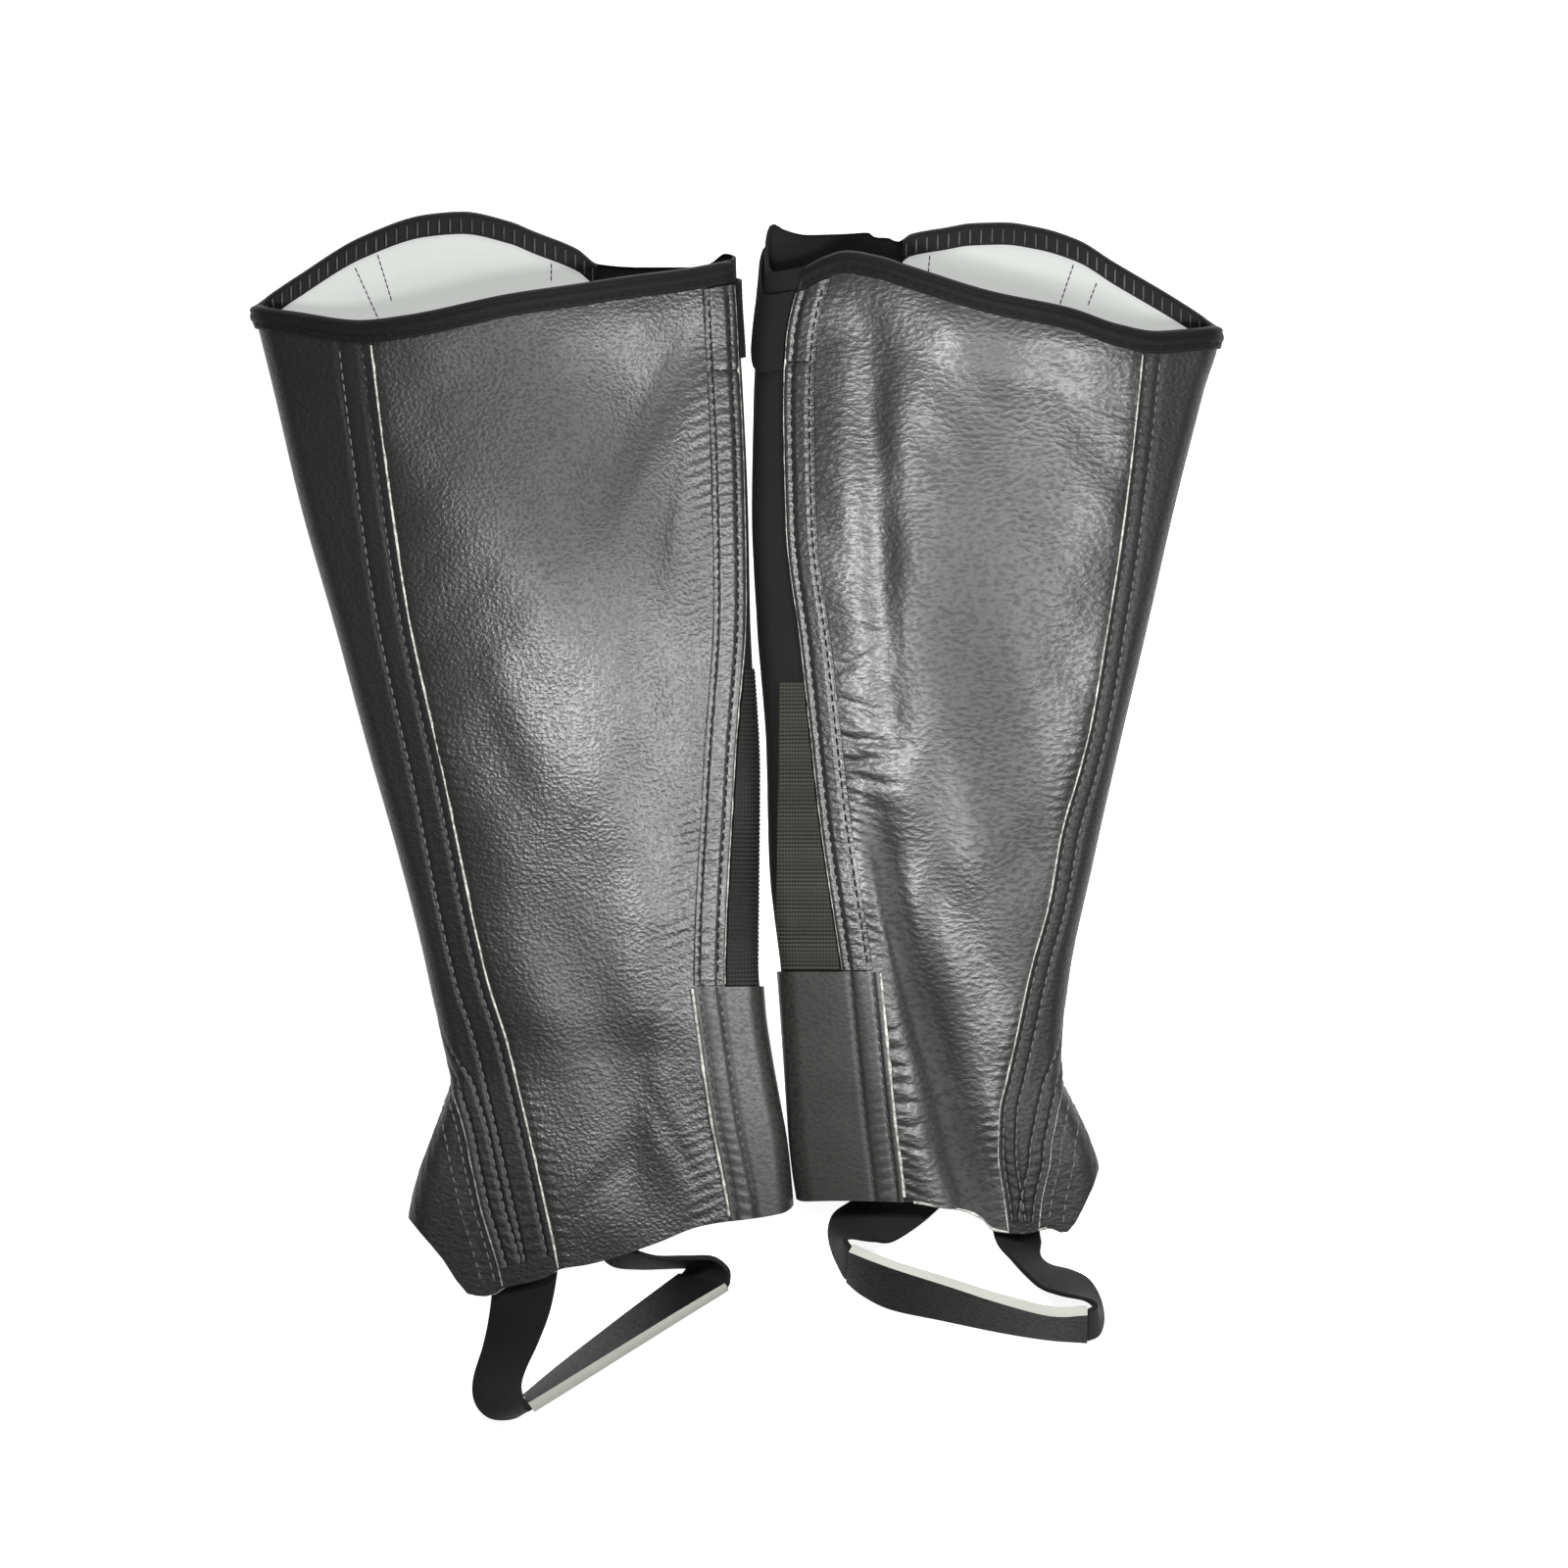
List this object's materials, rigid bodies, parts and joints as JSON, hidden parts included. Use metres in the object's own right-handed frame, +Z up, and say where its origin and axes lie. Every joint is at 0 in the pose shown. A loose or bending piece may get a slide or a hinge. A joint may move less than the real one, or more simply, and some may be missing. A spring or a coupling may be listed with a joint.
{
  "type": "riding gaiters",
  "caption": "Pair of black leather riding gaiters laid flat on their closures, each a tapered tube with an elastic panel, a bound rim, a lining and an under-foot strap.",
  "frame": {"origin": "on the table, below the middle of the pair's box", "axes": "+X from the left gaiter to the right one, +Y up the tubes toward the rims, +Z up from the table"},
  "size_m": [0.3824, 0.4743, 0.0363],
  "materials": {
    "upper_panel": "semi-matt grain",
    "side_panel": "matt nubuck",
    "back_panel": "semi-matt grain",
    "elastic": "woven elastic",
    "facing_leather": "satin",
    "zip_tape": "ribbed",
    "binding": "overlocked",
    "patch_leather": "satin",
    "lining": "soft knit",
    "sole_leather": "matt"
  },
  "bodies": {
    "root": {"left_upper_panel": "upper_panel", "left_side_panel": "side_panel", "left_back_panel": "back_panel", "left_elastic_panel": "elastic", "left_closure_facing": "facing_leather", "left_zip_strip": "zip_tape", "left_top_binding": "binding", "left_ankle_patch": "patch_leather", "left_lining": "lining", "left_snap_tab": "elastic", "left_strap_front": "elastic", "left_strap_back": "elastic", "left_strap_sole": "sole_leather", "right_upper_panel": "upper_panel", "right_side_panel": "side_panel", "right_back_panel": "back_panel", "right_elastic_panel": "elastic", "right_closure_facing": "facing_leather", "right_zip_strip": "zip_tape", "right_top_binding": "binding", "right_ankle_patch": "patch_leather", "right_lining": "lining", "right_snap_tab": "elastic", "right_strap_front": "elastic", "right_strap_back": "elastic", "right_strap_sole": "sole_leather"}
  },
  "joints": []
}
